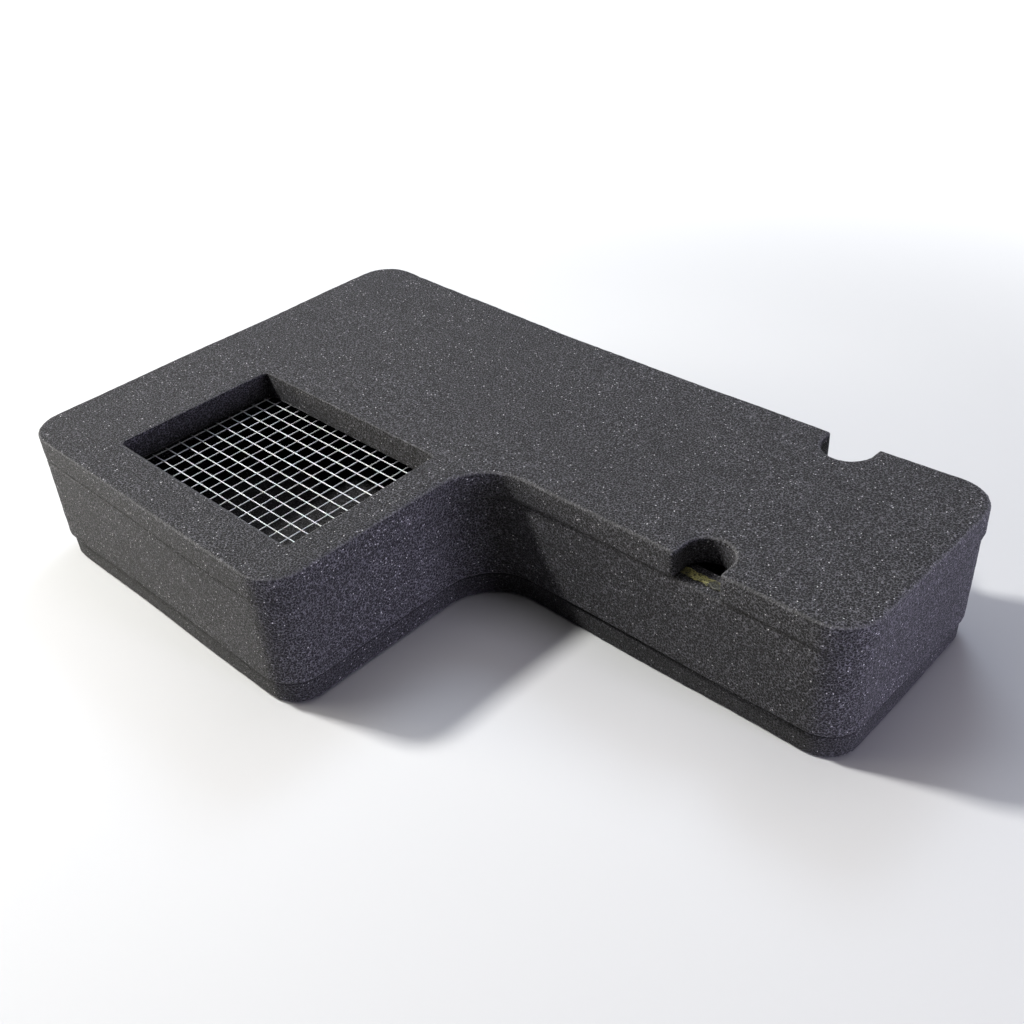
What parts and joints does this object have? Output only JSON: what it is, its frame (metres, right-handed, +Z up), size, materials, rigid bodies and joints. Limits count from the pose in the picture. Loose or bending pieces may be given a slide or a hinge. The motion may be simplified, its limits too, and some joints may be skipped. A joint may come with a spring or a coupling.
{
  "type": "foam filter element",
  "caption": "L-shaped hollow filter element of charcoal open-cell foam, with a rectangular outlet window over welded wire mesh and half-round notches across the narrow arm.",
  "frame": {"origin": "middle of the bounding box's bottom face, on the surface that the element rests on", "axes": "+X along the long back edge, from the wide end to the arm; +Y from the wide end's front face to the long back edge; +Z up, out through the outlet window"},
  "size_m": [0.325, 0.201, 0.06],
  "materials": {
    "filter_foam": "charcoal open-cell polyurethane foam, matte with fine glints from the cell walls",
    "galvanised_wire": "bright galvanised welded wire",
    "dried_adhesive": "dried contact adhesive, pale olive yellow, slightly glossy"
  },
  "bodies": {
    "root": {"top_foam_slab": "filter_foam", "foam_side_wall": "filter_foam", "bottom_foam_slab": "filter_foam", "upper_adhesive_film": "dried_adhesive", "lower_adhesive_film": "dried_adhesive", "mesh_adhesive_film": "dried_adhesive", "mesh_cross_wire_01": "galvanised_wire", "mesh_cross_wire_02": "galvanised_wire", "mesh_cross_wire_03": "galvanised_wire", "mesh_cross_wire_04": "galvanised_wire", "mesh_cross_wire_05": "galvanised_wire", "mesh_cross_wire_06": "galvanised_wire", "mesh_cross_wire_07": "galvanised_wire", "mesh_cross_wire_08": "galvanised_wire", "mesh_cross_wire_09": "galvanised_wire", "mesh_cross_wire_10": "galvanised_wire", "mesh_cross_wire_11": "galvanised_wire", "mesh_cross_wire_12": "galvanised_wire", "mesh_cross_wire_13": "galvanised_wire", "mesh_cross_wire_14": "galvanised_wire", "mesh_cross_wire_15": "galvanised_wire", "mesh_cross_wire_16": "galvanised_wire", "mesh_cross_wire_17": "galvanised_wire", "mesh_cross_wire_18": "galvanised_wire", "mesh_cross_wire_19": "galvanised_wire", "mesh_cross_wire_20": "galvanised_wire", "mesh_long_wire_01": "galvanised_wire", "mesh_long_wire_02": "galvanised_wire", "mesh_long_wire_03": "galvanised_wire", "mesh_long_wire_04": "galvanised_wire", "mesh_long_wire_05": "galvanised_wire", "mesh_long_wire_06": "galvanised_wire", "mesh_long_wire_07": "galvanised_wire", "mesh_long_wire_08": "galvanised_wire", "mesh_long_wire_09": "galvanised_wire", "mesh_long_wire_10": "galvanised_wire", "mesh_long_wire_11": "galvanised_wire", "mesh_long_wire_12": "galvanised_wire", "mesh_long_wire_13": "galvanised_wire", "mesh_long_wire_14": "galvanised_wire", "mesh_long_wire_15": "galvanised_wire"}
  },
  "joints": []
}
